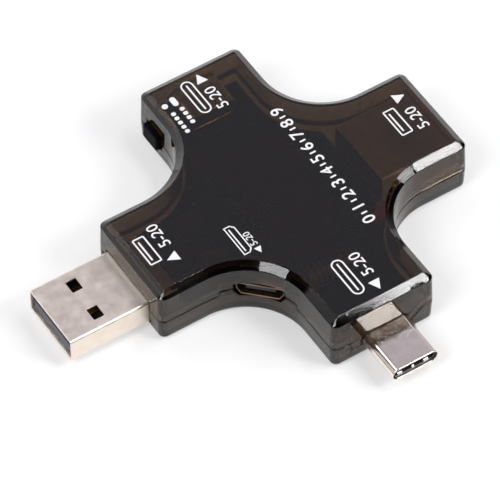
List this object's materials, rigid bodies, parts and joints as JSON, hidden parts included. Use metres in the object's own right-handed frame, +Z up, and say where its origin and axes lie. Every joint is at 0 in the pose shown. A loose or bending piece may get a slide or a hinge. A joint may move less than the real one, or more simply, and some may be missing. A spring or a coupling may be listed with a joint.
{
  "type": "usb power meter",
  "caption": "Cross-shaped in-line USB power meter with smoked shells, two plugs, sockets on the other arms and in one corner, a display window and a side button.",
  "frame": {"origin": "centre of the cross on the case's flat underside", "axes": "+Z up out of the printed and display side, -X along the full-size USB plug, -Y along the Type-C plug"},
  "size_m": [0.069, 0.0629, 0.0104],
  "materials": {
    "smoked_cover": "polished smoked translucent polycarbonate",
    "nickel_shell": "bright nickel plate, slightly warm",
    "contact_gold": "gold flash over spring bronze",
    "dark_insulator": "glass-filled nylon, fine matte",
    "board": "black solder mask over glass epoxy",
    "button_black": "satin moulded",
    "display_black": "polished display face, switched off",
    "frame_white": "moulded light guide frame",
    "ribbon_amber": "polyimide film",
    "chip_black": "moulded epoxy package",
    "can_metal": "satin metal can",
    "capacitor_ochre": "moulded epoxy package",
    "led_red": "red diffusing lens"
  },
  "bodies": {
    "meter": {"top_cover": "smoked_cover", "bottom_cover": "smoked_cover", "main_board": "board", "usb_a_plug_shell": "nickel_shell", "usb_a_plug_insulator": "dark_insulator", "usb_a_plug_contact_1": "contact_gold", "usb_a_plug_contact_2": "contact_gold", "usb_a_plug_contact_3": "contact_gold", "usb_a_plug_contact_4": "contact_gold", "usb_a_socket_shell": "nickel_shell", "usb_a_socket_insulator": "dark_insulator", "usb_a_socket_contact_1": "contact_gold", "usb_a_socket_contact_2": "contact_gold", "usb_a_socket_contact_3": "contact_gold", "usb_a_socket_contact_4": "contact_gold", "type_c_plug_shell": "nickel_shell", "type_c_plug_insert": "dark_insulator", "type_c_socket_shell": "nickel_shell", "type_c_socket_insulator": "dark_insulator", "micro_usb_shell": "nickel_shell", "micro_usb_insulator": "dark_insulator", "switch_body": "chip_black", "display_glass": "display_black", "display_frame": "frame_white", "display_ribbon": "ribbon_amber", "microcontroller": "chip_black", "crystal": "can_metal", "shunt_resistor": "chip_black", "voltage_regulator": "chip_black", "filter_inductor": "chip_black", "tantalum_capacitor_input": "capacitor_ochre", "tantalum_capacitor_output": "capacitor_ochre", "power_switch_chip": "chip_black", "protocol_chip": "chip_black", "indicator_led": "led_red"},
    "button": {"button_cap": "button_black"},
    "plunger": {"switch_plunger": "nickel_shell"}
  },
  "joints": [
    {"name": "button_press", "type": "slide", "parent": "meter", "child": "button", "axis": [1, 0, 0], "range_m": [0, 0.00025], "stiffness_N_per_m": 400, "springref_m": -0.0005},
    {"name": "plunger_travel", "type": "slide", "parent": "meter", "child": "plunger", "axis": [1, 0, 0], "range_m": [0, 0.00025]}
  ],
  "couplings": [
    {"joint": "plunger_travel", "follows": "button_press", "ratio": 1}
  ]
}
